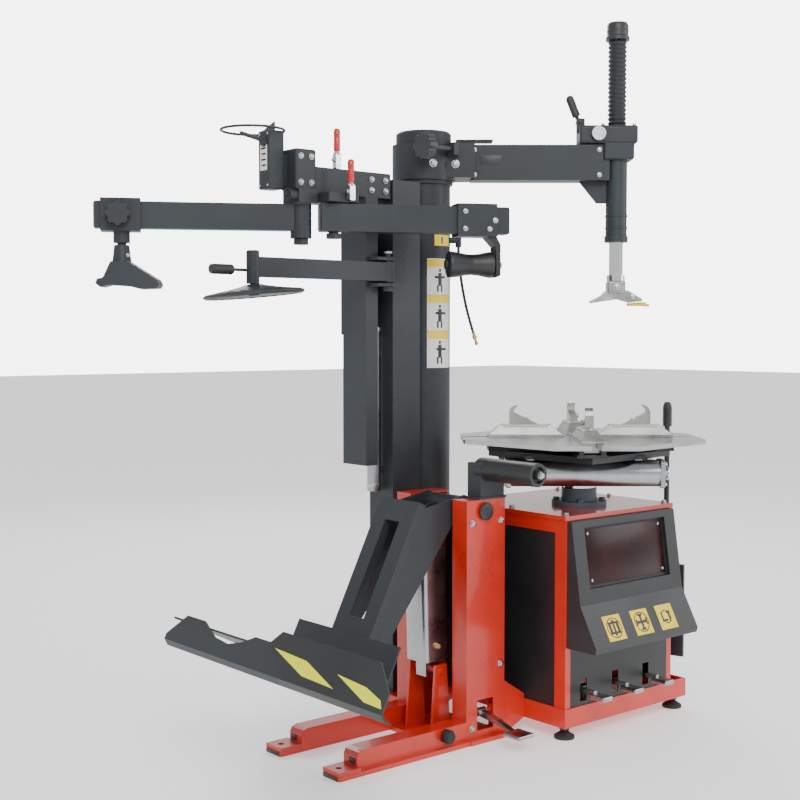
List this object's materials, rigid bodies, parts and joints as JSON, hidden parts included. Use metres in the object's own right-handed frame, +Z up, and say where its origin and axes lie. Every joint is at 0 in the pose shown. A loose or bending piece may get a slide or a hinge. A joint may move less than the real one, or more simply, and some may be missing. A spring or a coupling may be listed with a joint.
{
  "type": "tyre changer",
  "caption": "Swing-arm tyre changer: pedal cabinet with jawed turntable, tool arm on a column, helper arms and a tilting wheel lift.",
  "frame": {"origin": "on the floor, under the middle of the overall box", "axes": "+Z up; -Y is the side the operator and pedals face; the wheel lift and helper arms are on -X"},
  "size_m": [1.574, 1.2092, 2.014],
  "materials": {
    "red_paint": "gloss red enamel",
    "dark_paint": "semi-matt dark grey powder coat",
    "black_sheet": "satin black",
    "black_plastic": "satin moulded plastic",
    "yellow_plastic": "gloss",
    "rubber": "matt",
    "table_steel": "ground and polished",
    "jaw_steel": "ground",
    "cylinder_aluminium": "anodised",
    "chrome": "polished",
    "cast_steel": "blasted",
    "gear_paint": "grey-blue",
    "pedal_metal": "cast and polished",
    "hose_rubber": "satin"
  },
  "bodies": {
    "frame": {"cabinet_frame": "red_paint", "top_plate": "red_paint", "side_panels": "black_sheet", "front_cover": "black_plastic", "pedal_panel": "black_sheet", "leveling_feet": "rubber", "drive_motor": "gear_paint", "gearbox": "gear_paint", "bead_cylinder": "cylinder_aluminium", "column_base": "red_paint", "column": "dark_paint", "guide_post": "dark_paint", "helper_cylinder": "cylinder_aluminium", "lift_base": "red_paint", "lift_uprights": "red_paint", "roller_post": "dark_paint", "air_hose": "hose_rubber", "coil_hose": "hose_rubber"},
    "turntable": {"spindle": "chrome", "carrier": "black_sheet", "table_plate": "table_steel", "clamp_cylinders": "cylinder_aluminium"},
    "jaw_one": {"jaw_1": "jaw_steel"},
    "jaw_two": {"jaw_2": "jaw_steel"},
    "jaw_three": {"jaw_3": "jaw_steel"},
    "jaw_four": {"jaw_4": "jaw_steel"},
    "swing_arm_body": {"swing_arm": "dark_paint", "lock_housing": "dark_paint"},
    "lock_lever_body": {"lock_lever": "black_plastic"},
    "stop_knob_body": {"stop_knob": "black_plastic"},
    "tool_shaft_body": {"tool_shaft": "chrome", "mount_head": "cast_steel", "head_insert": "yellow_plastic", "shaft_bellows": "rubber"},
    "helper_mast_body": {"helper_mast": "dark_paint", "helper_rod": "chrome", "helper_beam": "dark_paint", "control_box": "dark_paint"},
    "joystick_body": {"joystick": "black_plastic"},
    "beam_latch_body": {"beam_latch": "chrome"},
    "arm_latch_body": {"arm_latch": "chrome"},
    "foot_arm_body": {"foot_arm": "dark_paint"},
    "foot_block_body": {"foot_block": "dark_paint"},
    "press_foot_body": {"press_foot": "dark_paint"},
    "roller_arm_body": {"roller_arm": "dark_paint"},
    "roller_block_body": {"roller_block": "dark_paint"},
    "press_roller_body": {"press_roller": "rubber"},
    "disc_arm_body": {"disc_arm": "dark_paint"},
    "lift_disc_body": {"lift_disc": "dark_paint"},
    "pedal_one": {"pedal_1": "pedal_metal"},
    "pedal_two": {"pedal_2": "pedal_metal"},
    "pedal_three": {"pedal_3": "pedal_metal"},
    "lift_pedal_body": {"lift_pedal": "pedal_metal"},
    "guide_roller_body": {"guide_roller": "rubber"},
    "lift_arm_body": {"lift_arm": "dark_paint", "tray_rear": "dark_paint", "tray_front": "black_sheet"},
    "lift_barrel_body": {"lift_barrel": "cylinder_aluminium"},
    "lift_rod_body": {"lift_rod": "chrome"},
    "bead_arm_body": {"bead_arm": "dark_paint"}
  },
  "joints": [
    {"name": "turntable_turn", "type": "hinge", "parent": "frame", "child": "turntable", "pos_m": [0.38854, -0.09659, 0.7], "axis": [0, 0, 1], "continuous": true},
    {"name": "jaw_one_slide", "type": "slide", "parent": "turntable", "child": "jaw_one", "axis": [0.766, -0.6428, 0], "range_m": [-0.012, 0.1]},
    {"name": "jaw_two_slide", "type": "slide", "parent": "turntable", "child": "jaw_two", "axis": [0.6428, 0.766, 0], "range_m": [-0.012, 0.1]},
    {"name": "jaw_three_slide", "type": "slide", "parent": "turntable", "child": "jaw_three", "axis": [-0.766, 0.6428, 0], "range_m": [-0.012, 0.1]},
    {"name": "jaw_four_slide", "type": "slide", "parent": "turntable", "child": "jaw_four", "axis": [-0.6428, -0.766, 0], "range_m": [-0.012, 0.1]},
    {"name": "swing_arm_turn", "type": "hinge", "parent": "frame", "child": "swing_arm_body", "pos_m": [0.18854, 0.35241, 1.6], "axis": [0, 0, 1], "range_deg": [-80, 90]},
    {"name": "lock_lever_turn", "type": "hinge", "parent": "swing_arm_body", "child": "lock_lever_body", "pos_m": [0.54475, 0.05351, 1.722], "axis": [0.6428, 0.766, 0], "range_deg": [-30, 40]},
    {"name": "stop_knob_turn", "type": "hinge", "parent": "swing_arm_body", "child": "stop_knob_body", "pos_m": [0.10799, 0.23463, 1.632], "axis": [1, 0, 0], "continuous": true},
    {"name": "tool_shaft_slide", "type": "slide", "parent": "swing_arm_body", "child": "tool_shaft_body", "axis": [0, 0, 1], "range_m": [-0.18, 0.06], "deforming": ["shaft_bellows"]},
    {"name": "helper_mast_slide", "type": "slide", "parent": "frame", "child": "helper_mast_body", "axis": [0, 0, 1], "range_m": [-0.35, 0]},
    {"name": "joystick_tilt", "type": "hinge", "parent": "helper_mast_body", "child": "joystick_body", "pos_m": [-0.41146, 0.31941, 1.606], "axis": [0, 1, 0], "range_deg": [-12, 12], "stiffness_Nm_per_rad": 0.8},
    {"name": "beam_latch_turn", "type": "hinge", "parent": "helper_mast_body", "child": "beam_latch_body", "pos_m": [-0.18946, 0.28141, 1.557], "axis": [0, 1, 0], "range_deg": [-20, 20]},
    {"name": "arm_latch_turn", "type": "hinge", "parent": "helper_mast_body", "child": "arm_latch_body", "pos_m": [-0.20146, 0.20341, 1.464], "axis": [0, 1, 0], "range_deg": [-20, 20]},
    {"name": "foot_arm_turn", "type": "hinge", "parent": "helper_mast_body", "child": "foot_arm_body", "pos_m": [-0.30046, 0.29841, 1.4], "axis": [0, 0, 1], "range_deg": [-60, 100]},
    {"name": "foot_block_slide", "type": "slide", "parent": "foot_arm_body", "child": "foot_block_body", "axis": [-0.866, 0.5, 0], "range_m": [-0.28, 0.012]},
    {"name": "press_foot_turn", "type": "hinge", "parent": "foot_block_body", "child": "press_foot_body", "pos_m": [-0.71442, 0.53741, 1.34], "axis": [0, 0, 1], "range_deg": [-90, 90]},
    {"name": "roller_arm_turn", "type": "hinge", "parent": "helper_mast_body", "child": "roller_arm_body", "pos_m": [-0.22346, 0.25341, 1.4], "axis": [0, 0, 1], "range_deg": [-120, 10]},
    {"name": "roller_block_slide", "type": "slide", "parent": "roller_arm_body", "child": "roller_block_body", "axis": [0.891, -0.454, 0], "range_m": [-0.12, 0.03]},
    {"name": "press_roller_spin", "type": "hinge", "parent": "roller_block_body", "child": "press_roller_body", "pos_m": [0.12225, 0.07726, 1.286], "axis": [0.891, -0.454, 0], "continuous": true},
    {"name": "disc_arm_turn", "type": "hinge", "parent": "helper_mast_body", "child": "disc_arm_body", "pos_m": [-0.04746, 0.23341, 1.266], "axis": [0, 0, 1], "range_deg": [0, 90]},
    {"name": "lift_disc_spin", "type": "hinge", "parent": "disc_arm_body", "child": "lift_disc_body", "pos_m": [-0.50046, 0.23341, 1.225], "axis": [-0.0668, 0.056, 0.9962], "continuous": true},
    {"name": "pedal_one_press", "type": "hinge", "parent": "frame", "child": "pedal_one", "pos_m": [0.23854, -0.21659, 0.128], "axis": [1, 0, 0], "range_deg": [0, 9], "stiffness_Nm_per_rad": 5, "springref_deg": -17.19},
    {"name": "pedal_two_press", "type": "hinge", "parent": "frame", "child": "pedal_two", "pos_m": [0.36854, -0.21659, 0.128], "axis": [1, 0, 0], "range_deg": [0, 9], "stiffness_Nm_per_rad": 5, "springref_deg": -17.19},
    {"name": "pedal_three_press", "type": "hinge", "parent": "frame", "child": "pedal_three", "pos_m": [0.49854, -0.21659, 0.128], "axis": [1, 0, 0], "range_deg": [0, 9], "stiffness_Nm_per_rad": 5, "springref_deg": -17.19},
    {"name": "lift_pedal_press", "type": "hinge", "parent": "frame", "child": "lift_pedal_body", "pos_m": [0.01354, -0.08659, 0.074], "axis": [1, 0, 0], "range_deg": [0, 7], "stiffness_Nm_per_rad": 8, "springref_deg": -17.19},
    {"name": "guide_roller_spin", "type": "hinge", "parent": "frame", "child": "guide_roller_body", "pos_m": [0.02354, -0.19659, 0.73], "axis": [0, 1, 0], "continuous": true},
    {"name": "lift_arm_turn", "type": "hinge", "parent": "frame", "child": "lift_arm_body", "pos_m": [0.00854, 0.03891, 0.62], "axis": [0, 1, 0], "range_deg": [-26, 63.3]},
    {"name": "lift_barrel_turn", "type": "hinge", "parent": "frame", "child": "lift_barrel_body", "pos_m": [-0.06746, 0.03891, 0.1825], "axis": [0, 1, 0], "range_deg": [-1.2, 2.6]},
    {"name": "lift_rod_slide", "type": "slide", "parent": "lift_barrel_body", "child": "lift_rod_body", "axis": [-0.0294, 0, 0.9996], "range_m": [-0.0396, 0.0936]},
    {"name": "bead_arm_turn", "type": "hinge", "parent": "frame", "child": "bead_arm_body", "pos_m": [0.67854, 0.22441, 0.345], "axis": [0, 0, 1], "range_deg": [0, 60]}
  ],
  "couplings": [
    {"joint": "jaw_two_slide", "follows": "jaw_one_slide", "ratio": 1},
    {"joint": "jaw_three_slide", "follows": "jaw_one_slide", "ratio": 1},
    {"joint": "jaw_four_slide", "follows": "jaw_one_slide", "ratio": 1},
    {"joint": "lift_barrel_turn", "follows": "lift_arm_turn", "ratio": 0.0357},
    {"joint": "lift_rod_slide", "follows": "lift_arm_turn", "m_per_rad": 0.0842}
  ]
}
